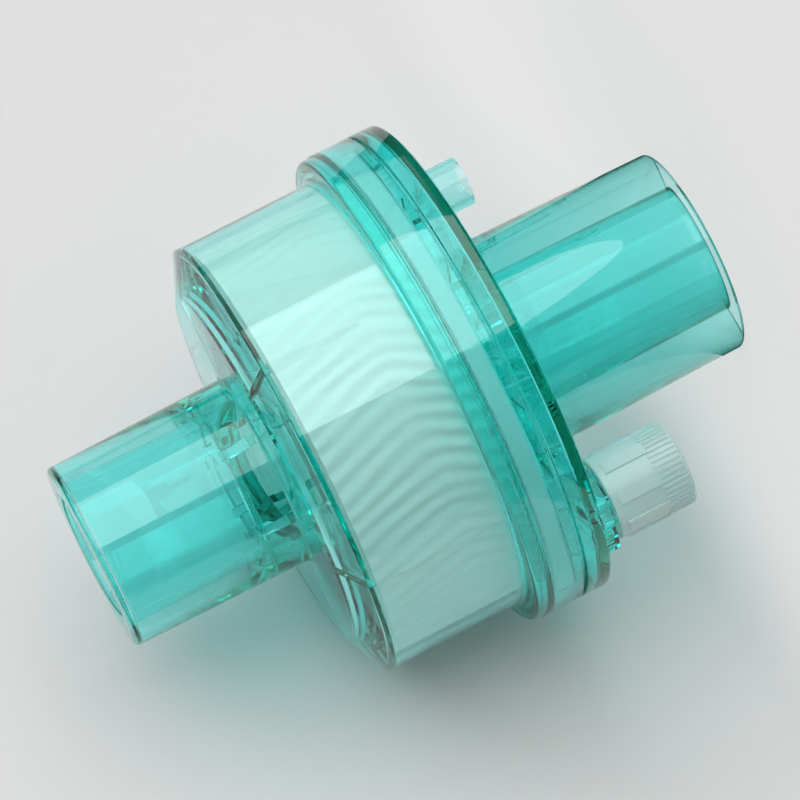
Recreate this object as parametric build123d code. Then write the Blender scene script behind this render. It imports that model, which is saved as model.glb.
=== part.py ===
from build123d import *
import os
from math import cos, degrees, pi, radians, sin, tan

# Breathing circuit filter, standing on its machine port, with the axis of both ports on Z.
# The origin is the centre of the machine port's mouth, and the gas sampling port is on +X.

# Lengths along the axis, from the machine mouth up to the patient mouth
machine_port_length = 26.2
machine_flange_thickness = 3.05
rim_groove_width = 0.35
patient_flange_thickness = 5.9
cup_height = 16.7
cup_chamfer_height = 2.1
patient_port_length = 21.5

# Conical connectors: every cone has a taper of 1 in 40 on its diameter
cone_taper = 1 / 40
edge_ease = 0.35

# Patient port: a 22 mm male cone outside and a 15 mm female cone inside
patient_cone_mouth_radius = 10.93
patient_tube_wall = 1.2
patient_bore_mouth_radius = 7.73
patient_inner_tube_wall = 0.95
patient_inner_tube_length = 17.5
patient_mouth_web = 1.5

# Patient end wall and the cup that holds the paper roll
end_wall = 1.2
cup_radius = 26.1
cup_chamfer_width = 4.8
cup_wall = 1.2
end_rib_count = 6
end_rib_width = 1.1
end_rib_phase = 13.0
end_rib_knob_radius = 0.85
end_rib_inner_radius = 8.2
cup_foot_web = 0.6

# Flanges and the joint between the two mouldings
flange_overhang = 2.6
flange_lip_step = 0.15
flange_lip_height = 1.4
flange_edge_ease = 0.4
rim_groove_depth = 0.6
flange_rim_wall = 1.7
spigot_wall = 1.5
spigot_clearance = 0.1

# Filter membrane, clamped between the shoulder of the patient flange and the spigot
membrane_thickness = 2.5
membrane_edge_clearance = 0.3
membrane_crimp_width = 1.9
membrane_crimp_depth = 0.35
membrane_shoulder_depth = 2.3

# Machine port: a 22 mm female cone outside and a 15 mm male cone inside
machine_tube_mouth_radius = 12.1
machine_tube_draft = 0.017
machine_cone_mouth_radius = 11.2
machine_inner_cone_tip_radius = 7.5
machine_bore_radius = 6.3
machine_inner_recess = 0.3
port_foot_web = 0.7
cover_plate = 0.9
support_rib_count = 12
support_rib_width = 0.9
support_rib_reach = 20.0

# Gas sampling port with its pad on the rim, and the post that parks its cap
luer_inset = 3.9
luer_radius = 3.25
luer_length = 8.5
luer_bore_mouth_radius = 2.2
luer_taper = 0.06
luer_lug_reach = 3.9
luer_lug_width = 1.6
luer_lug_height = 1.2
luer_pad_width = 9.3
luer_pad_height = 1.2
sampling_hole_radius = 0.9
post_inset = 4.2
post_radius = 3.0
post_length = 9.3
post_bore_radius = 2.1

# Cap of the gas sampling port
cap_radius = 4.75
cap_length = 9.3
cap_gap = 0.3
cap_bore_clearance = 0.3
cap_end_wall = 1.2
cap_grip_length = 3.5
cap_grip_rib_count = 48
cap_grip_rib_height = 0.15
cap_bar_count = 8
cap_bar_width = 1.5
cap_bar_height = 0.15
cap_bar_start = 0.9
cap_plug_clearance = 0.4
cap_plug_length = 6.0
cap_plug_bore_radius = 0.9

# Wound paper roll
roll_clearance = 0.2
roll_end_gap = 0.1
roll_flute_pitch = 2.05
roll_flute_depth = 0.3
roll_bend_height = 6.8
roll_lean_above = 17.0
roll_lean_below = 27.0
roll_turn_pitch = 2.4
roll_core_radius = 2.0
roll_turn_sides = 24
roll_turn_gap = 0.45
roll_turn_depth = 0.9
roll_seam_angle = 10.0
roll_seam_width = 0.4
roll_seam_depth = 0.5

# Levels worked out from the lengths
cone_slope = cone_taper / 2
machine_face_z = machine_port_length
machine_flange_top_z = machine_face_z + machine_flange_thickness
joint_z = machine_flange_top_z + rim_groove_width
flange_top_z = joint_z + patient_flange_thickness
cup_edge_z = flange_top_z + cup_height
end_face_z = cup_edge_z + cup_chamfer_height
patient_mouth_z = end_face_z + patient_port_length
cup_inner_radius = cup_radius - cup_wall
end_face_radius = cup_radius - cup_chamfer_width
flange_radius = cup_radius + flange_overhang
luer_pitch_radius = flange_radius - luer_inset
post_pitch_radius = flange_radius - post_inset
shoulder_z = flange_top_z - membrane_shoulder_depth
spigot_top_z = shoulder_z - membrane_thickness
flange_bore_radius = flange_radius - flange_rim_wall
end_wall_z = end_face_z - end_wall
cup_inner_edge_z = cup_edge_z - end_wall * 0.75
roll_top_z = cup_inner_edge_z - roll_end_gap
cover_floor_z = machine_face_z + cover_plate
overlap = 0.3


def turned(outline):
    """Solid of revolution about the Z axis, from (radius, height) points."""
    return revolve(Plane.XZ * make_face(Polyline(*outline, close=True)), Axis.Z)


def ease_edges(solid, size, radius, height):
    """Break the circular edges of one radius and height with a small bevel."""
    near = [
        edge
        for edge in solid.edges().filter_by(GeomType.CIRCLE)
        if abs(edge.radius - radius) < 0.02 and abs(edge.arc_center.Z - height) < 0.02
    ]
    return chamfer(near, size)


def patient_housing():
    """Port, end wall, cup and flange of the patient side, in one moulding."""
    port_foot_radius = patient_cone_mouth_radius + cone_slope * patient_port_length
    tube_end_z = patient_mouth_z - patient_inner_tube_length
    bore_end_radius = patient_bore_mouth_radius - cone_slope * patient_inner_tube_length
    inner_tube_radius = patient_bore_mouth_radius + patient_inner_tube_wall
    web_z = patient_mouth_z - patient_mouth_web
    slot_mouth_radius = patient_cone_mouth_radius + cone_slope * patient_mouth_web - patient_tube_wall
    slot_foot_radius = port_foot_radius - patient_tube_wall
    lip_radius = flange_radius - flange_lip_step
    lip_z = flange_top_z - flange_lip_height
    shell = turned(
        [
            (patient_bore_mouth_radius, patient_mouth_z),
            (patient_cone_mouth_radius, patient_mouth_z),
            (port_foot_radius, end_face_z),
            (end_face_radius, end_face_z),
            (cup_radius, cup_edge_z),
            (cup_radius, flange_top_z),
            (lip_radius, flange_top_z),
            (lip_radius, lip_z),
            (flange_radius, lip_z),
            (flange_radius, joint_z),
            (flange_bore_radius, joint_z),
            (flange_bore_radius, shoulder_z),
            (cup_inner_radius, shoulder_z),
            (cup_inner_radius, cup_inner_edge_z),
            (end_face_radius - end_wall / 2, end_wall_z),
            (slot_foot_radius, end_wall_z),
            (slot_mouth_radius, web_z),
            (inner_tube_radius, web_z),
            (inner_tube_radius, tube_end_z),
            (bore_end_radius, tube_end_z),
        ]
    )
    shell = ease_edges(shell, edge_ease, patient_cone_mouth_radius, patient_mouth_z)
    shell = ease_edges(shell, edge_ease, patient_bore_mouth_radius, patient_mouth_z)
    shell = ease_edges(shell, cup_foot_web, cup_radius, flange_top_z)
    shell = ease_edges(shell, flange_edge_ease, lip_radius, flange_top_z)

    rib_outline = [
        (end_rib_inner_radius, tube_end_z + overlap),
        (slot_foot_radius + overlap, tube_end_z + overlap),
        (slot_foot_radius + overlap, end_wall_z + overlap),
        (end_face_radius - end_wall, end_wall_z + overlap),
        (cup_inner_radius + overlap, cup_inner_edge_z),
        (cup_inner_radius + overlap, roll_top_z),
        (slot_foot_radius + end_wall, roll_top_z),
        (end_rib_inner_radius, tube_end_z - end_wall),
    ]
    rib_face = Plane.XZ * make_face(Polyline(*rib_outline, close=True))
    rib = extrude(rib_face, end_rib_width / 2, both=True)
    knob_radius_place = cup_inner_radius - end_rib_knob_radius / 2
    knob_height = cup_inner_edge_z + overlap - roll_top_z
    knob = Pos(knob_radius_place, 0, roll_top_z) * extrude(Circle(end_rib_knob_radius), knob_height)
    bore_tool = Pos(0, 0, tube_end_z) * extrude(Circle(bore_end_radius), overlap * 2, both=True)
    rib = rib + knob - bore_tool
    for place in PolarLocations(0, end_rib_count, start_angle=end_rib_phase):
        shell += place * rib
    return shell


def machine_housing():
    """Flange cover, double port, gas sampling port and cap post, in one moulding."""
    tube_foot_radius = machine_tube_mouth_radius + machine_tube_draft * machine_port_length
    cone_foot_radius = machine_cone_mouth_radius - cone_slope * machine_port_length
    inner_length = machine_port_length - machine_inner_recess
    inner_foot_radius = machine_inner_cone_tip_radius + cone_slope * inner_length
    groove_radius = flange_radius - rim_groove_depth
    spigot_radius = flange_bore_radius - spigot_clearance
    chamber_radius = spigot_radius - spigot_wall
    shell = turned(
        [
            (machine_bore_radius, machine_inner_recess),
            (machine_inner_cone_tip_radius, machine_inner_recess),
            (inner_foot_radius, machine_face_z),
            (cone_foot_radius, machine_face_z),
            (machine_cone_mouth_radius, 0),
            (machine_tube_mouth_radius, 0),
            (tube_foot_radius, machine_face_z),
            (flange_radius, machine_face_z),
            (flange_radius, machine_flange_top_z),
            (groove_radius, machine_flange_top_z),
            (groove_radius, joint_z),
            (spigot_radius, joint_z),
            (spigot_radius, spigot_top_z),
            (chamber_radius, spigot_top_z),
            (chamber_radius, cover_floor_z),
            (machine_bore_radius, cover_floor_z),
        ]
    )
    shell = ease_edges(shell, port_foot_web, tube_foot_radius, machine_face_z)
    shell = ease_edges(shell, flange_edge_ease, flange_radius, machine_face_z)
    shell = ease_edges(shell, edge_ease, machine_inner_cone_tip_radius, machine_inner_recess)

    rib_length = support_rib_reach - machine_bore_radius - support_rib_width
    rib_centre = machine_bore_radius + support_rib_width + rib_length / 2
    rib_height = spigot_top_z - cover_floor_z
    rib = Pos(rib_centre, 0, cover_floor_z + rib_height / 2) * Box(
        rib_length, support_rib_width, rib_height
    )
    for place in PolarLocations(0, support_rib_count, start_angle=180 / support_rib_count):
        shell += place * rib

    luer = Pos(luer_pitch_radius, 0, 0)
    luer_tip_z = machine_face_z - luer_length
    pad_face = Circle(luer_pad_width / 2)
    pad_face += Pos(luer_pad_width / 2, 0, 0) * Rectangle(luer_pad_width, luer_pad_width)
    pad = luer * Pos(0, 0, machine_face_z - luer_pad_height) * extrude(pad_face, luer_pad_height)
    rim = Pos(0, 0, machine_face_z - luer_pad_height) * extrude(
        Circle(flange_radius), luer_pad_height + flange_edge_ease
    )
    shell += pad & rim
    edge_fill = Pos(luer_pitch_radius, 0, machine_face_z) * Box(
        luer_pad_width, luer_pad_width, flange_edge_ease * 2
    )
    shell += edge_fill & rim
    shell += luer * Pos(0, 0, luer_tip_z) * extrude(Circle(luer_radius), luer_length + overlap)
    lug = luer * Pos(0, 0, luer_tip_z + luer_lug_height / 2) * Box(
        luer_lug_width, luer_lug_reach * 2, luer_lug_height
    )
    lug_reach = luer * Pos(0, 0, luer_tip_z) * extrude(Circle(luer_lug_reach), luer_lug_height)
    shell += lug & lug_reach
    bore_foot_radius = luer_bore_mouth_radius - luer_taper / 2 * luer_length
    shell -= luer * turned(
        [
            (0, luer_tip_z),
            (luer_bore_mouth_radius, luer_tip_z),
            (bore_foot_radius, machine_face_z),
            (0, machine_face_z),
        ]
    )
    hole = Pos(chamber_radius - sampling_hole_radius - overlap, 0, machine_face_z - overlap)
    shell -= hole * extrude(Circle(sampling_hole_radius), cover_plate + overlap * 2)

    post = Pos(-post_pitch_radius, 0, machine_face_z - post_length)
    shell += post * extrude(Circle(post_radius), post_length + overlap)
    shell -= post * extrude(Circle(post_bore_radius), post_length)
    return shell


def filter_membrane():
    """White filter disc with a crimped edge."""
    radius = flange_bore_radius - membrane_edge_clearance
    crimp_radius = radius - membrane_crimp_width
    crimp_z = shoulder_z - membrane_crimp_depth
    return turned(
        [
            (0, spigot_top_z),
            (radius, spigot_top_z),
            (radius, crimp_z),
            (crimp_radius, crimp_z),
            (crimp_radius, shoulder_z),
            (0, shoulder_z),
        ]
    )


def fluted_outline(radius, count, turn):
    """Closed zigzag outline of the paper's flutes, turned by an angle in degrees."""
    points = []
    for index in range(count * 2):
        angle = pi * index / count + radians(turn)
        reach = radius - roll_flute_depth * (index % 2)
        points.append((reach * cos(angle), reach * sin(angle)))
    return make_face(Polyline(*points, close=True))


def spiral_gap(radius):
    """Flat outline of the gap between the roll's turns, which winds in to the core."""
    count = int((radius - roll_core_radius) / roll_turn_pitch * roll_turn_sides)
    outer, inner = [], []
    for index in range(count + 1):
        angle = 2 * pi * index / roll_turn_sides
        reach = radius - roll_turn_pitch * index / roll_turn_sides
        outer.append((reach * cos(angle), reach * sin(angle)))
        reach -= roll_turn_gap
        inner.append((reach * cos(angle), reach * sin(angle)))
    return make_face(Polyline(*outer, *reversed(inner), close=True))


def hme_roll():
    """Spiral-wound fluted paper, whose flutes lean one way and then the other."""
    radius = cup_inner_radius - roll_clearance
    length = roll_top_z - shoulder_z
    count = round(2 * pi * radius / roll_flute_pitch)
    turn_below = -tan(radians(roll_lean_below)) * roll_bend_height / radius
    turn_above = -tan(radians(roll_lean_above)) * (length - roll_bend_height) / radius
    bend_z = shoulder_z + roll_bend_height
    levels = [
        (shoulder_z, degrees(turn_below)),
        ((shoulder_z + bend_z) / 2, degrees(turn_below) / 2),
        (bend_z, 0),
        ((bend_z + roll_top_z) / 2, degrees(turn_above) / 2),
        (roll_top_z, degrees(turn_above)),
    ]
    sections = [Pos(0, 0, z) * fluted_outline(radius, count, angle) for z, angle in levels]
    roll = loft(sections, ruled=True)

    gap = extrude(spiral_gap(radius - roll_turn_pitch), roll_turn_depth)
    roll -= Pos(0, 0, roll_top_z - roll_turn_depth) * gap
    seam = Pos(radius, 0, shoulder_z + length / 2) * Box(
        roll_seam_depth * 2, roll_seam_width, length
    )
    return roll - Rot(0, 0, roll_seam_angle) * seam


def luer_cap():
    """White cap: barred skirt, ribbed grip and a hollow tapered plug."""
    top_z = machine_face_z - luer_pad_height - cap_gap
    bottom_z = top_z - cap_length
    floor_z = bottom_z + cap_end_wall
    bore_radius = luer_lug_reach + cap_bore_clearance
    plug_radius = luer_bore_mouth_radius - cap_plug_clearance
    cap = turned(
        [
            (0, bottom_z),
            (cap_radius, bottom_z),
            (cap_radius, top_z),
            (bore_radius, top_z),
            (bore_radius, floor_z),
            (plug_radius, floor_z),
            (plug_radius, floor_z + cap_plug_length),
            (cap_plug_bore_radius, floor_z + cap_plug_length),
            (cap_plug_bore_radius, floor_z),
            (0, floor_z),
        ]
    )
    cap = ease_edges(cap, edge_ease, cap_radius, bottom_z)
    grip_pitch = 2 * pi * cap_radius / cap_grip_rib_count
    grip_length = cap_grip_length - edge_ease
    grip_rib = Pos(cap_radius, 0, bottom_z + edge_ease) * extrude(
        Rectangle(cap_grip_rib_height * 2, grip_pitch / 2), grip_length
    )
    for place in PolarLocations(0, cap_grip_rib_count):
        cap += place * grip_rib
    bar_length = cap_length - cap_grip_length - cap_bar_start
    bar = Pos(cap_radius, 0, bottom_z + cap_grip_length) * extrude(
        Rectangle(cap_bar_height * 2, cap_bar_width), bar_length
    )
    for place in PolarLocations(0, cap_bar_count):
        cap += place * bar
    return Pos(luer_pitch_radius, 0, 0) * cap


parts = {
    "patient_housing": patient_housing(),
    "machine_housing": machine_housing(),
    "filter_membrane": filter_membrane(),
    "hme_roll": hme_roll(),
    "luer_cap": luer_cap(),
}

os.makedirs("parts", exist_ok=True)
for name, shape in parts.items():
    shape.label = name
    export_step(shape, f"parts/{name}.step")
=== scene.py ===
import bpy
import math
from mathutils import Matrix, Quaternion, Vector, noise


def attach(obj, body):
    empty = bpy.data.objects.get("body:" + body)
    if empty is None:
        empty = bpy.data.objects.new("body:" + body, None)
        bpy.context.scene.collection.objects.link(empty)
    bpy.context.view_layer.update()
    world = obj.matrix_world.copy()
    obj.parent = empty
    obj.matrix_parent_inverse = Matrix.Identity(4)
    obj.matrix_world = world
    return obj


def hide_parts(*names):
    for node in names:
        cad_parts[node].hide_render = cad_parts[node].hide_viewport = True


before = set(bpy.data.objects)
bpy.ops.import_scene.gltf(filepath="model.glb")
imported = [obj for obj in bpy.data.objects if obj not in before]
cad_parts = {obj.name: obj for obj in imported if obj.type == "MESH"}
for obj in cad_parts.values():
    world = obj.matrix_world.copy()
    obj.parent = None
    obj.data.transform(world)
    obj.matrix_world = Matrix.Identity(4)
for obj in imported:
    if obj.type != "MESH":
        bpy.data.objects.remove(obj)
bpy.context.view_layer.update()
mm = 0.001
print("frame loaded")


# helpers

def deselectAll():
    if bpy.context.object and bpy.context.object.mode != "OBJECT":
        bpy.ops.object.mode_set(mode="OBJECT")
    bpy.ops.object.select_all(action="DESELECT")


def roundedOutline(outline, steps):
    # every corner is (radius, height, rounding), and a rounded one becomes an arc
    points = []
    for index, (radius, height, rounding) in enumerate(outline):
        corner = Vector((radius, height))
        if not rounding:
            points.append(corner)
            continue
        before = (Vector(outline[index - 1][:2]) - corner).normalized()
        after = (Vector(outline[(index + 1) % len(outline)][:2]) - corner).normalized()
        half = before.angle(after) / 2
        centre = corner + (before + after).normalized() * rounding / math.sin(half)
        start = corner + before * rounding / math.tan(half) - centre
        end = corner + after * rounding / math.tan(half) - centre
        for step in range(steps + 1):
            points.append(centre + start.slerp(end, step / steps) * rounding)
    return points


def spinPoints(name, points, sides):
    # the points are a closed ring beside the Z axis, which is turned all the way round it
    deselectAll()
    bpy.ops.mesh.primitive_circle_add(vertices=len(points), radius=mm)
    piece = bpy.context.object
    piece.name = piece.data.name = name
    for vertex, (radius, height) in zip(piece.data.vertices, points):
        vertex.co = (radius * mm, 0, height * mm)
    screw = piece.modifiers.new("turn", "SCREW")
    screw.steps = screw.render_steps = sides
    screw.use_merge_vertices = True
    screw.merge_threshold = 1e-7
    bpy.ops.object.modifier_apply(modifier=screw.name)
    bpy.ops.object.mode_set(mode="EDIT")
    bpy.ops.mesh.select_all(action="SELECT")
    bpy.ops.mesh.remove_doubles(threshold=1e-6)
    bpy.ops.mesh.delete_loose(use_verts=True, use_edges=True, use_faces=False)
    bpy.ops.mesh.select_all(action="SELECT")
    bpy.ops.mesh.normals_make_consistent(inside=False)
    bpy.ops.object.mode_set(mode="OBJECT")
    return piece


def turnProfile(name, outline, sides=144, steps=4):
    return spinPoints(name, roundedOutline(outline, steps), sides)


def addPlate(name, corners, thickness):
    # an upright plate on the XZ plane, drawn round its corners and given its thickness
    deselectAll()
    bpy.ops.mesh.primitive_circle_add(vertices=len(corners), fill_type="NGON")
    piece = bpy.context.object
    piece.name = piece.data.name = name
    for vertex, (across, height) in zip(piece.data.vertices, corners):
        vertex.co = (across * mm, -thickness / 2 * mm, height * mm)
    bpy.ops.object.mode_set(mode="EDIT")
    bpy.ops.mesh.select_all(action="SELECT")
    bpy.ops.mesh.extrude_region_move(TRANSFORM_OT_translate={"value": (0, thickness * mm, 0)})
    bpy.ops.mesh.select_all(action="SELECT")
    bpy.ops.mesh.normals_make_consistent(inside=False)
    bpy.ops.object.mode_set(mode="OBJECT")
    return piece


def addRod(name, place, radius, low, high, sides=48, tipRadius=None):
    # a round bar between two heights, tapered where its low end has a radius of its own
    deselectAll()
    bpy.ops.mesh.primitive_cone_add(
        vertices=sides,
        radius1=(tipRadius or radius) * mm,
        radius2=radius * mm,
        depth=(high - low) * mm,
        location=(place[0] * mm, place[1] * mm, (low + high) / 2 * mm),
    )
    piece = bpy.context.object
    piece.name = piece.data.name = name
    bpy.ops.object.transform_apply(location=True, rotation=True, scale=True)
    return piece


def addBlock(name, low, high):
    deselectAll()
    centre = [(a + b) / 2 * mm for a, b in zip(low, high)]
    bpy.ops.mesh.primitive_cube_add(size=1, location=centre)
    piece = bpy.context.object
    piece.name = piece.data.name = name
    piece.scale = [(b - a) * mm for a, b in zip(low, high)]
    bpy.ops.object.transform_apply(location=True, rotation=True, scale=True)
    return piece


def joinPieces(pieces):
    deselectAll()
    for piece in pieces:
        piece.select_set(True)
    bpy.context.view_layer.objects.active = pieces[0]
    bpy.ops.object.join()
    return bpy.context.object


def turnCopies(piece, count, start=0.0):
    # copies round the Z axis, each with its own mesh, joined into one object
    copies = []
    for index in range(count):
        deselectAll()
        piece.select_set(True)
        bpy.context.view_layer.objects.active = piece
        bpy.ops.object.duplicate()
        copy = bpy.context.object
        copy.rotation_euler.z = math.radians(start + 360 / count * index)
        bpy.ops.object.transform_apply(location=True, rotation=True, scale=True)
        copies.append(copy)
    bpy.data.objects.remove(piece)
    return joinPieces(copies)


def cutOrJoin(piece, other, operation):
    deselectAll()
    piece.select_set(True)
    bpy.context.view_layer.objects.active = piece
    modifier = piece.modifiers.new(operation.lower(), "BOOLEAN")
    modifier.operation = operation
    modifier.solver = "EXACT"
    modifier.object = other
    bpy.ops.object.modifier_apply(modifier=modifier.name)
    bpy.data.objects.remove(other)


def finishPiece(piece, node, body, material, smoothAngle=32):
    deselectAll()
    piece.select_set(True)
    bpy.context.view_layer.objects.active = piece
    bpy.ops.object.shade_smooth_by_angle(angle=math.radians(smoothAngle))
    piece.data.materials.clear()
    piece.data.materials.append(material)
    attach(piece, body)
    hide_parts(node)


# camera

cameraPlace = {
    "place": (287.4, 365.2, 102.5),  # mm
    "aim": (0, 0, 37.2),
    "roll": -117.1,  # degrees: the photograph shows the filter lying on its side
    "lens": 189.8,
}


def addCamera():
    deselectAll()
    bpy.ops.object.camera_add(location=[value * mm for value in cameraPlace["place"]])
    camera = bpy.context.object
    back = Vector(cameraPlace["place"]) - Vector(cameraPlace["aim"])
    roll = Quaternion((0, 0, 1), math.radians(cameraPlace["roll"]))
    camera.rotation_mode = "QUATERNION"
    camera.rotation_quaternion = (-back).to_track_quat("-Z", "Y") @ roll
    camera.data.lens = cameraPlace["lens"]
    camera.data.sensor_width = 36
    camera.data.clip_start = 0.01
    camera.data.clip_end = 100
    bpy.context.scene.camera = camera


addCamera()
print("camera placed")


# floor and light

stageLook = {
    "floorSize": 30,  # m
    "paperColour": (0.655, 0.646, 0.648),
    "floorColour": (0.2, 0.199, 0.198),
    "floorGlow": (0.64, 0.632, 0.632),
    "glowHeight": 0.015,  # m, where the card stops glowing as the floor does
    "worldColour": (0.97, 0.98, 1.0),
    "worldStrength": 0.06,
    "bounces": {"all": 36, "through": 32, "gloss": 24, "clear": 12},
}

# the photograph's table, as a paper card behind the filter, which curves into the floor
# and is see-through from behind
card = {
    "turn": 79.8,  # degrees from +X to the side that the card faces
    "lean": 6.7,  # degrees forwards
    "distance": 32.9,  # mm
    "curve": 16,
    "curveSteps": 12,
    "height": 900,
    "width": 1600,
}

# places and sizes in m, power in W: the softbox shows as the bright band along the cup and the ports
softbox = {"place": (0.024, 0.62, 0.10), "size": (0.72, 0.76), "power": 4.4, "aim": (0, 0, 0.04)}
backLight = {"place": (-0.95, 0.85, 0.3), "size": (1.3, 1.3), "power": 3.0, "aim": (0, 0, 0.04)}


def addPaper(nodes, colour, glow=(0, 0, 0)):
    shader = nodes.new("ShaderNodeBsdfPrincipled")
    shader.inputs["Base Color"].default_value = (*colour, 1)
    shader.inputs["Roughness"].default_value = 0.9
    shader.inputs["Specular IOR Level"].default_value = 0.2
    shader.inputs["Emission Color"].default_value = (*glow, 1)
    shader.inputs["Emission Strength"].default_value = 1
    return shader


def paperMaterial(name):
    material = bpy.data.materials.new(name)
    material.use_nodes = True
    nodes, links = material.node_tree.nodes, material.node_tree.links
    nodes.clear()
    return material, nodes, links, nodes.new("ShaderNodeOutputMaterial")


def addFloor():
    deselectAll()
    bpy.ops.mesh.primitive_plane_add(size=stageLook["floorSize"])
    floor = bpy.context.object
    floor.name = "floor"
    # the lights reach below the floor, and still show in the plastic and light the card
    floor.visible_glossy = False
    floor.visible_shadow = False
    material, nodes, links, output = paperMaterial("floorPaper")
    paper = addPaper(nodes, stageLook["floorColour"], stageLook["floorGlow"])
    links.new(paper.outputs["BSDF"], output.inputs["Surface"])
    floor.data.materials.append(material)


def addCard():
    lean = math.radians(card["lean"])
    foot = -card["distance"] / math.cos(lean)
    away = card["curve"] * math.tan((math.pi / 2 + lean) / 2)
    outline = [(foot + away, 0.0)]
    centre = (foot + away, card["curve"])
    for step in range(1, card["curveSteps"] + 1):
        turn = (math.pi / 2 - lean) * step / card["curveSteps"]
        rise = centre[1] - card["curve"] * math.cos(turn)
        outline.append((centre[0] - card["curve"] * math.sin(turn), rise))
    outline.append((foot + card["height"] * math.tan(lean), card["height"]))
    deselectAll()
    bpy.ops.mesh.primitive_grid_add(x_subdivisions=1, y_subdivisions=len(outline) - 1, size=1)
    sheet = bpy.context.object
    sheet.name = "card"
    for index, vertex in enumerate(sheet.data.vertices):
        side = (index % 2 - 0.5) * card["width"]
        away, height = outline[index // 2]
        vertex.co = (away * mm, side * mm, height * mm)
    sheet.rotation_euler.z = math.radians(card["turn"])
    bpy.ops.object.shade_smooth()
    material, nodes, links, output = paperMaterial("cardPaper")
    low = addPaper(nodes, stageLook["floorColour"], stageLook["floorGlow"])
    high = addPaper(nodes, stageLook["paperColour"])
    place = nodes.new("ShaderNodeTexCoord")
    split = nodes.new("ShaderNodeSeparateXYZ")
    fade = nodes.new("ShaderNodeMapRange")
    fade.interpolation_type = "SMOOTHSTEP"
    fade.inputs["From Max"].default_value = stageLook["glowHeight"]
    blend = nodes.new("ShaderNodeMixShader")
    links.new(place.outputs["Object"], split.inputs["Vector"])
    links.new(split.outputs["Z"], fade.inputs["Value"])
    links.new(fade.outputs["Result"], blend.inputs["Fac"])
    links.new(low.outputs["BSDF"], blend.inputs[1])
    links.new(high.outputs["BSDF"], blend.inputs[2])
    side = nodes.new("ShaderNodeNewGeometry")
    see = nodes.new("ShaderNodeBsdfTransparent")
    mix = nodes.new("ShaderNodeMixShader")
    links.new(side.outputs["Backfacing"], mix.inputs["Fac"])
    links.new(blend.outputs["Shader"], mix.inputs[1])
    links.new(see.outputs["BSDF"], mix.inputs[2])
    links.new(mix.outputs["Shader"], output.inputs["Surface"])
    sheet.data.materials.append(material)


def addLight():
    world = bpy.data.worlds.new("room")
    world.use_nodes = True
    background = world.node_tree.nodes["Background"]
    background.inputs["Color"].default_value = (*stageLook["worldColour"], 1)
    background.inputs["Strength"].default_value = stageLook["worldStrength"]
    bpy.context.scene.world = world
    for name, box in (("softbox", softbox), ("backLight", backLight)):
        deselectAll()
        bpy.ops.object.light_add(type="AREA", location=box["place"])
        light = bpy.context.object
        light.name = name
        light.data.shape = "RECTANGLE"
        light.data.size, light.data.size_y = box["size"]
        light.data.energy = box["power"]
        light.visible_camera = False
        aim = Vector(box["aim"]) - Vector(box["place"])
        light.rotation_euler = aim.to_track_quat("-Z", "Y").to_euler()
    # light passes many walls of clear plastic on its way to the paper and back
    scene = bpy.context.scene
    bounces = stageLook["bounces"]
    scene.view_settings.view_transform = "Standard"
    scene.cycles.max_bounces = bounces["all"]
    scene.cycles.transmission_bounces = bounces["through"]
    scene.cycles.glossy_bounces = bounces["gloss"]
    scene.cycles.transparent_max_bounces = bounces["clear"]
    scene.cycles.blur_glossy = 0


addFloor()
addCard()
addLight()
print("stage and light set")


# materials

def newMaterial(name):
    material = bpy.data.materials.new(name)
    material.use_nodes = True
    nodes = material.node_tree.nodes
    return material, nodes, material.node_tree.links, nodes["Principled BSDF"]


clearLook = {
    "tint": (0.02, 0.952, 0.93),  # colour that a long way through the plastic takes
    "density": 405,  # per metre
    "roughness": 0.0,
    "ior": 1.53,
}


def clearPlastic():
    material, nodes, links, shader = newMaterial("clearTealPlastic")
    shader.inputs["Base Color"].default_value = (1, 1, 1, 1)
    shader.inputs["Transmission Weight"].default_value = 1
    shader.inputs["Roughness"].default_value = clearLook["roughness"]
    shader.inputs["IOR"].default_value = clearLook["ior"]
    absorption = nodes.new("ShaderNodeVolumeAbsorption")
    absorption.inputs["Color"].default_value = (*clearLook["tint"], 1)
    absorption.inputs["Density"].default_value = clearLook["density"]
    links.new(absorption.outputs["Volume"], nodes["Material Output"].inputs["Volume"])
    return material


def addFibreBump(nodes, links, shader, look):
    coordinates = nodes.new("ShaderNodeTexCoord")
    fibres = nodes.new("ShaderNodeTexNoise")
    fibres.inputs["Scale"].default_value = look["scale"]
    fibres.inputs["Detail"].default_value = look["detail"]
    bump = nodes.new("ShaderNodeBump")
    bump.inputs["Strength"].default_value = look["bump"]
    bump.inputs["Distance"].default_value = look["depth"]
    links.new(coordinates.outputs["Object"], fibres.inputs["Vector"])
    links.new(fibres.outputs["Fac"], bump.inputs["Height"])
    links.new(bump.outputs["Normal"], shader.inputs["Normal"])
    return fibres


# the darker tone is painted shade in the hollows of the fibre bump, together with the paper's own fibre
# tone
paperLook = {
    "hollowShadeTone": (0.88, 0.81, 0.76),
    "light": (0.94, 0.88, 0.83),
    "roughness": 0.85,
    "scale": 900,
    "detail": 6,
    "bump": 0.35,
    "depth": 0.0002,  # m
}

# the darker tone is painted shade in the hollows of the fibre bump, together with the felt's own fibre tone
feltLook = {
    "hollowShadeTone": (0.70, 0.72, 0.70),
    "light": (0.78, 0.79, 0.77),
    "roughness": 0.95,
    "scale": 1400,
    "detail": 8,
    "bump": 0.5,
    "depth": 0.0002,
}

capLook = {
    "colour": (0.74, 0.90, 0.89),
    "roughness": 0.32,
    "clearness": 0.55,
    "softness": 0.5,
    "softDepth": 0.002,
    "ior": 1.49,
    "scale": 500,
    "detail": 2,
    "bump": 0.05,
    "depth": 0.0001,
}


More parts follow.
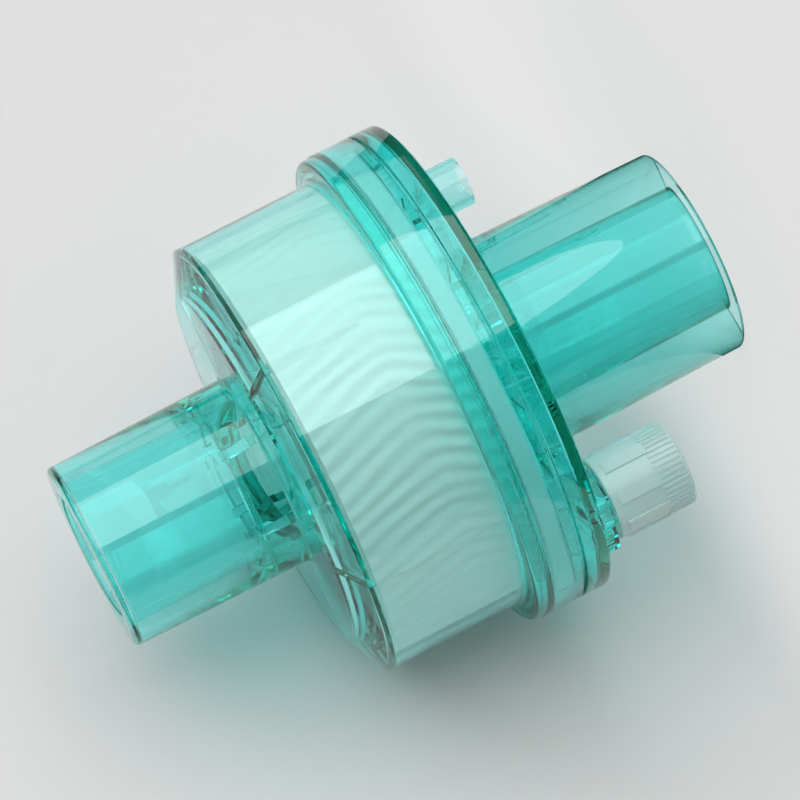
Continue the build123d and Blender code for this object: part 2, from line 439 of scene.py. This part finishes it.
def fibrousMaterial(name, look):
    # fibres whose tone varies, with painted shade: the colour is darker where the bump has its hollows
    material, nodes, links, shader = newMaterial(name)
    shader.inputs["Roughness"].default_value = look["roughness"]
    fibres = addFibreBump(nodes, links, shader, look)
    ramp = nodes.new("ShaderNodeValToRGB")
    ramp.color_ramp.elements[0].color = (*look["hollowShadeTone"], 1)
    ramp.color_ramp.elements[1].color = (*look["light"], 1)
    links.new(fibres.outputs["Fac"], ramp.inputs["Fac"])
    links.new(ramp.outputs["Color"], shader.inputs["Base Color"])
    return material


def milkyPlastic():
    material, nodes, links, shader = newMaterial("milkyWhitePlastic")
    shader.inputs["Base Color"].default_value = (*capLook["colour"], 1)
    shader.inputs["Roughness"].default_value = capLook["roughness"]
    shader.inputs["Transmission Weight"].default_value = capLook["clearness"]
    shader.inputs["Subsurface Weight"].default_value = capLook["softness"]
    shader.inputs["Subsurface Scale"].default_value = capLook["softDepth"]
    shader.inputs["IOR"].default_value = capLook["ior"]
    addFibreBump(nodes, links, shader, capLook)
    return material


tealPlastic = clearPlastic()
rollPaper = fibrousMaterial("whiteFlutedPaper", paperLook)
felt = fibrousMaterial("whiteFilterFelt", feltLook)
capPlastic = milkyPlastic()
print("materials made")


# patient housing: radii and heights in mm

patientShell = {
    "mouth": 75.8,
    "mouthRadius": 10.93,
    "footRadius": 11.2,
    "tubeWall": 1.2,
    "boreMouth": 7.73,
    "boreEnd": 7.51,
    "innerTube": 8.68,
    "innerTubeEnd": 58.3,
    "web": 75.1,
    "endFace": 54.3,
    "endFaceRadius": 21.3,
    "endWall": 1.2,
    "cornerWall": 0.6,
    "collar": {"bore": 8.75, "top": 58.1},
    "cupEdge": 52.2,
    "cupRadius": 26.1,
    "cupBore": 25.2,
    "flangeTop": 35.5,
    "flangeRadius": 28.7,
    "lipRadius": 28.55,
    "lip": 34.1,
    "joint": 29.6,
    "flangeBore": 27.0,
    "shoulder": 33.2,
    "ribs": {"count": 6, "width": 1.1, "phase": 13.0, "inner": 8.2, "foot": 51.3, "knob": 0.6,
             "knobPitch": 25.3, "lap": 0.3},
}


def patientHousing():
    size = patientShell
    slotFoot = size["footRadius"] - size["tubeWall"]
    slotMouth = size["mouthRadius"] - size["tubeWall"]
    innerEdge = size["cupEdge"] - size["cornerWall"]
    collar = size["collar"]
    shell = turnProfile("patientShell", [
        (size["boreMouth"], size["mouth"], 0.55),
        (size["mouthRadius"], size["mouth"], 0.5),
        (size["footRadius"], size["endFace"], 0.35),
        (size["endFaceRadius"], size["endFace"], 0.5),
        (size["cupRadius"], size["cupEdge"], 0.22),
        (size["cupRadius"], size["flangeTop"], 0.6),
        (size["lipRadius"], size["flangeTop"], 0.5),
        (size["lipRadius"], size["lip"], 0.06),
        (size["flangeRadius"], size["lip"], 0.06),
        (size["flangeRadius"], size["joint"], 0.15),
        (size["flangeBore"], size["joint"], 0.1),
        (size["flangeBore"], size["shoulder"], 0.2),
        (size["cupBore"], size["shoulder"], 0.2),
        (size["cupBore"], innerEdge, 0.2),
        (size["endFaceRadius"] - size["endWall"] / 2, size["endFace"] - size["endWall"], 0.4),
        (collar["bore"], size["endFace"] - size["endWall"], 0.3),
        (collar["bore"], collar["top"], 0.3),
        (slotFoot, collar["top"], 0.5),
        (slotMouth, size["web"], 0.4),
        (size["innerTube"], size["web"], 0.35),
        (size["innerTube"], size["innerTubeEnd"], 0.2),
        (size["boreEnd"], size["innerTubeEnd"], 0.2),
    ])
    ribs = size["ribs"]
    plate = addPlate("endRib", [
        (ribs["inner"], size["innerTubeEnd"] + ribs["lap"]),
        (slotFoot + ribs["lap"], size["innerTubeEnd"] + ribs["lap"]),
        (slotFoot + ribs["lap"], size["endFace"] - size["endWall"] + ribs["lap"]),
        (size["endFaceRadius"] - size["endWall"], size["endFace"] - size["endWall"] + ribs["lap"]),
        (size["cupBore"] + ribs["lap"], innerEdge),
        (size["cupBore"] + ribs["lap"], ribs["foot"]),
        (slotFoot + size["tubeWall"], ribs["foot"]),
        (ribs["inner"], size["innerTubeEnd"] - size["tubeWall"]),
    ], ribs["width"])
    knobTop = size["cupEdge"] - ribs["lap"]
    knob = addRod("knob", (ribs["knobPitch"], 0), ribs["knob"], ribs["foot"], knobTop, 24)
    cutOrJoin(plate, knob, "UNION")
    cutOrJoin(shell, turnCopies(plate, ribs["count"], ribs["phase"]), "UNION")
    finishPiece(shell, "patient_housing", "housing", tealPlastic)


patientHousing()
print("patient housing made")


# machine housing

machineShell = {
    "recess": 0.3,
    "bore": 6.3,
    "innerTip": 7.5,
    "innerFoot": 7.82,
    "coneMouth": 11.2,
    "coneFoot": 10.87,
    "tubeMouth": 12.1,
    "tubeFoot": 12.55,
    "face": 26.2,
    "flangeRadius": 28.7,
    "flangeTop": 29.25,
    "grooveRadius": 28.1,
    "joint": 29.6,
    "gap": 0.04,
    "spigot": 26.9,
    "spigotTop": 30.7,
    "chamber": 25.4,
    "coverFloor": 27.1,
    "ribs": {"count": 12, "width": 0.9, "inner": 7.2, "reach": 20.0, "phase": 15},
    "luer": {"pitch": 24.8, "radius": 3.25, "tip": 17.7, "bore": 2.2, "boreFoot": 1.95, "lug": 3.9,
             "lugWidth": 1.6, "lugHeight": 1.2, "padWidth": 9.3, "padHeight": 1.2,
             "hole": 0.9, "holePitch": 24.2},
    "post": {"pitch": 24.5, "radius": 3.0, "tip": 16.9, "bore": 2.1},
}


def machineHousing():
    size = machineShell
    shell = turnProfile("machineShell", [
        (size["bore"], size["recess"], 0.3),
        (size["innerTip"], size["recess"], 0.35),
        (size["innerFoot"], size["face"], 0.5),
        (size["coneFoot"], size["face"], 0.5),
        (size["coneMouth"], 0, 0.3),
        (size["tubeMouth"], 0, 0.3),
        (size["tubeFoot"], size["face"], 0.8),
        (size["flangeRadius"], size["face"], 0.45),
        (size["flangeRadius"], size["flangeTop"], 0.15),
        (size["grooveRadius"], size["flangeTop"], 0.08),
        (size["grooveRadius"], size["joint"] - size["gap"], 0.08),
        (size["spigot"], size["joint"] - size["gap"], 0.08),
        (size["spigot"], size["spigotTop"], 0.2),
        (size["chamber"], size["spigotTop"], 0.2),
        (size["chamber"], size["coverFloor"], 0.4),
        (size["bore"], size["coverFloor"], 0.3),
    ])
    ribs = size["ribs"]
    rib = addBlock("supportRib", (ribs["inner"], -ribs["width"] / 2, size["coverFloor"] - 0.2),
                   (ribs["reach"], ribs["width"] / 2, size["spigotTop"]))
    additions = [turnCopies(rib, ribs["count"], ribs["phase"])]

    luer = size["luer"]
    pad = addRod("pad", (luer["pitch"], 0), luer["padWidth"] / 2, size["face"] - luer["padHeight"],
                 size["face"] + 0.5, 64)
    block = addBlock("padEnd", (luer["pitch"], -luer["padWidth"] / 2, size["face"] - luer["padHeight"]),
                     (size["flangeRadius"] + 3, luer["padWidth"] / 2, size["face"] + 0.5))
    cutOrJoin(pad, block, "UNION")
    rim = addRod("rim", (0, 0), size["flangeRadius"], 20, 40, 144)
    cutOrJoin(pad, rim, "INTERSECT")
    port = addRod("luerPort", (luer["pitch"], 0), luer["radius"], luer["tip"], size["face"] + 0.3, 64)
    lug = addBlock("lug", (luer["pitch"] - luer["lugWidth"] / 2, -luer["lug"], luer["tip"]),
                   (luer["pitch"] + luer["lugWidth"] / 2, luer["lug"], luer["tip"] + luer["lugHeight"]))
    cutOrJoin(port, lug, "UNION")
    cutOrJoin(pad, port, "UNION")
    additions.append(pad)
    post = size["post"]
    postTop = size["face"] + 0.3
    additions.append(addRod("capPost", (-post["pitch"], 0), post["radius"], post["tip"], postTop, 64))
    cutOrJoin(shell, joinPieces(additions), "UNION")
    bores = [
        addRod("luerBore", (luer["pitch"], 0), luer["boreFoot"], luer["tip"] - 0.1, size["face"], 48,
               luer["bore"]),
        addRod("postBore", (-post["pitch"], 0), post["bore"], post["tip"] - 0.1, size["face"], 48),
    ]
    cutOrJoin(shell, joinPieces(bores), "DIFFERENCE")
    hole = addRod("samplingHole", (luer["holePitch"], 0), luer["hole"], size["face"] - 0.2,
                  size["coverFloor"] + 0.2, 32)
    cutOrJoin(shell, hole, "DIFFERENCE")
    finishPiece(shell, "machine_housing", "housing", tealPlastic)


machineHousing()
print("machine housing made")


# paper roll

rollSize = {
    "radius": 24.7,
    "foot": 33.2,
    "top": 51.0,
    "flutes": 76,
    "fluteDepth": 0.3,
    "lean": (17, -27),  # degrees, above and below the bend
    "bend": 40.0,
    "sides": 836,
    "rows": 40,
    "core": 2,
    "turnPitch": 1.9,
    "turnGap": 0.8,
    "endRings": 45,
    "seam": 10.0,
    "seamReach": 30,  # degrees
    "seamStep": 0.18,
    "unevenness": {"bend": 0.8, "shift": 0.5, "wall": 0.04},
}


def hmeRoll():
    size = rollSize
    length = size["top"] - size["foot"]
    wall = [(size["radius"], size["foot"] + length * row / size["rows"]) for row in range(size["rows"] + 1)]
    rings = size["endRings"]
    end = [(size["radius"] * (1 - ring / rings), size["top"]) for ring in range(1, rings + 1)]
    piece = spinPoints("paperRoll", wall + end + [(0, size["foot"])], size["sides"])
    high, low = [math.tan(math.radians(lean)) for lean in size["lean"]]
    uneven = size["unevenness"]
    for vertex in piece.data.vertices:
        x, y, z = [value / mm for value in vertex.co]
        reach = math.hypot(x, y)
        angle = math.atan2(y, x)
        if reach > size["radius"] - 0.01:
            arc = angle * size["radius"]
            up = z - size["bend"] + uneven["bend"] * noise.noise((x * 0.12, y * 0.12, 5))
            soft = math.sqrt(up * up + 1.2) - 1.1  # rounds the flutes' bend
            shift = up * (high + low) / 2 + soft * (high - low) / 2
            shift += uneven["shift"] * noise.noise((x * 0.25, y * 0.25, z * 0.12))
            wave = math.cos((arc + shift) / size["radius"] * size["flutes"])
            strength = 0.75 + 0.7 * noise.noise((x * 0.2, y * 0.2, z * 0.2 + 9))
            depth = size["fluteDepth"] / 2 * strength
            away = (math.degrees(angle) - size["seam"] + 180) % 360 - 180
            step = size["seamStep"] if -size["seamReach"] < away < 0 else 0.0
            crease = uneven["wall"] * (1 + noise.noise((x * 0.9, y * 0.9, z * 0.9)))
            reach -= depth * (1 - wave) + step + crease
            vertex.co.x, vertex.co.y = reach * math.cos(angle) * mm, reach * math.sin(angle) * mm
        elif reach > size["core"]:
            phase = reach / size["turnPitch"] + angle / (2 * math.pi)
            dip = max(0.0, math.cos(phase * 2 * math.pi)) ** 6
            vertex.co.z -= size["turnGap"] * dip * mm
    finishPiece(piece, "hme_roll", "housing", rollPaper, 60)


hmeRoll()
print("paper roll made")


# filter membrane

membraneSize = {"foot": 30.72, "top": 33.18, "radius": 26.7, "crimp": 24.8, "crimpDepth": 0.35}


def filterMembrane():
    size = membraneSize
    disc = turnProfile("filterDisc", [
        (0, size["foot"], 0),
        (size["radius"], size["foot"], 0.3),
        (size["radius"], size["top"] - size["crimpDepth"], 0.3),
        (size["crimp"], size["top"] - size["crimpDepth"], 0.1),
        (size["crimp"], size["top"], 0.2),
        (0, size["top"], 0),
    ])
    finishPiece(disc, "filter_membrane", "housing", felt)


filterMembrane()
print("filter membrane made")


# cap of the gas sampling port

capSize = {
    "pitch": 24.8,
    "top": 24.7,
    "bottom": 15.4,
    "radius": 4.75,
    "bore": 4.2,
    "floor": 16.6,
    "plug": 1.8,
    "plugTop": 22.6,
    "plugBore": 0.9,
    "grip": {"count": 48, "length": 3.1, "height": 0.15},
    "bars": {"count": 8, "width": 1.5, "low": 18.7, "high": 23.8, "height": 0.15},
}


def luerCap():
    size = capSize
    cap = turnProfile("luerCap", [
        (0, size["bottom"], 0),
        (size["radius"], size["bottom"], 0.5),
        (size["radius"], size["top"], 0.2),
        (size["bore"], size["top"], 0.15),
        (size["bore"], size["floor"], 0.3),
        (size["plug"], size["floor"], 0.2),
        (size["plug"], size["plugTop"], 0.15),
        (size["plugBore"], size["plugTop"], 0.1),
        (size["plugBore"], size["floor"], 0),
        (0, size["floor"], 0),
    ], 96)
    grip = size["grip"]
    half = math.pi * size["radius"] / grip["count"] / 2
    rib = addBlock("gripRib", (size["radius"] - 0.3, -half, size["bottom"] + 0.4),
                   (size["radius"] + grip["height"], half, size["bottom"] + 0.4 + grip["length"]))
    cutOrJoin(cap, turnCopies(rib, grip["count"]), "UNION")
    bars = size["bars"]
    bar = addBlock("skirtBar", (size["radius"] - 0.3, -bars["width"] / 2, bars["low"]),
                   (size["radius"] + bars["height"], bars["width"] / 2, bars["high"]))
    cutOrJoin(cap, turnCopies(bar, bars["count"]), "UNION")
    for vertex in cap.data.vertices:
        vertex.co.x += size["pitch"] * mm
    finishPiece(cap, "luer_cap", "cap", capPlastic)


luerCap()
print("cap made")
